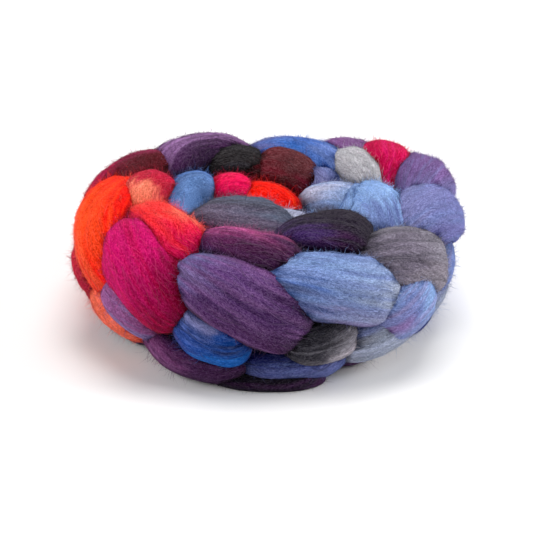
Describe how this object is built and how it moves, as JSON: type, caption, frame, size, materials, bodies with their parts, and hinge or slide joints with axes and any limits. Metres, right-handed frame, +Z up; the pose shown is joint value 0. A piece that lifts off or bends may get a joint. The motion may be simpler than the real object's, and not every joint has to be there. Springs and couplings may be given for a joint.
{
  "type": "chain-braided wool roving",
  "caption": "Length of dyed combed wool worked into a looped chain and coiled into a round nest that rests flat; fibre for spinning or felting.",
  "frame": {"origin": "middle of the outline on the table under the nest", "axes": "+Z up from the table, -Y towards the front, +X to the right; the chain runs anticlockwise seen from above"},
  "size_m": [0.1886, 0.1927, 0.0701],
  "materials": {
    "wool": "matt dyed wool fibre, many colours"
  },
  "bodies": {
    "root": {"roving_braid": "wool"}
  },
  "joints": []
}
